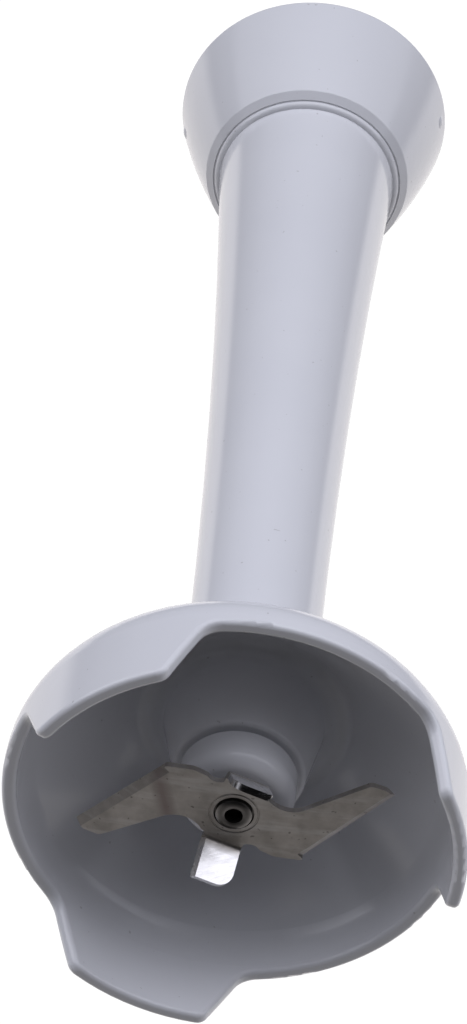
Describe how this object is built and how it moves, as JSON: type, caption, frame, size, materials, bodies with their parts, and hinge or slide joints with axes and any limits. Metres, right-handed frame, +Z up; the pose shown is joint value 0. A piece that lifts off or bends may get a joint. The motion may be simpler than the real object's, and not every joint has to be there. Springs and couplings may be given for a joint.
{
  "type": "immersion blender foot",
  "caption": "Detachable blending foot of an immersion blender: bell-shaped blade guard with notched rim, tapered stem, flared coupling collar and a bent two-wing blade on a through shaft.",
  "frame": {"origin": "on the shaft axis, at the plane that the guard's three feet stand on", "axes": "+Z up along the shaft axis, from the guard to the collar's rim; +X and +Y across, with one foot of the guard at 109.75 degrees from +X towards +Y"},
  "size_m": [0.068, 0.068, 0.2094],
  "materials": {
    "white_shell": "semi-gloss moulded white",
    "liner_plastic": "fine moulded satin",
    "seal_rubber": "soft matt rubber",
    "zinc_steel": "zinc-plated screw",
    "sintered_bronze": "oil-soaked sintered bronze",
    "guide_plastic": "natural acetal",
    "oil_felt": "oily wool felt",
    "shaft_steel": "ground steel",
    "blade_steel": "pressed stainless with ground edges",
    "coupling_plastic": "glass-filled nylon",
    "spring_steel": "spring steel"
  },
  "bodies": {
    "foot": {"stem_and_guard": "white_shell", "coupling_collar": "white_shell", "socket_liner": "liner_plastic", "collar_seal": "seal_rubber", "bearing_carrier": "liner_plastic", "socket_screws": "zinc_steel", "upper_bearing": "sintered_bronze", "lower_bearing": "sintered_bronze", "shaft_guide": "guide_plastic", "seal_cap": "white_shell", "lip_seal": "seal_rubber", "felt_ring": "oil_felt"},
    "rotor": {"drive_shaft": "shaft_steel", "blade": "blade_steel", "blade_washer": "shaft_steel", "drive_coupling": "coupling_plastic", "coupling_pin": "shaft_steel", "thrust_washer_top": "spring_steel", "thrust_washer_clip": "spring_steel", "retaining_clip": "spring_steel"}
  },
  "joints": [
    {"name": "blade_spin", "type": "hinge", "parent": "foot", "child": "rotor", "pos_m": [0, 0, 0.1], "axis": [0, 0, 1], "continuous": true}
  ]
}
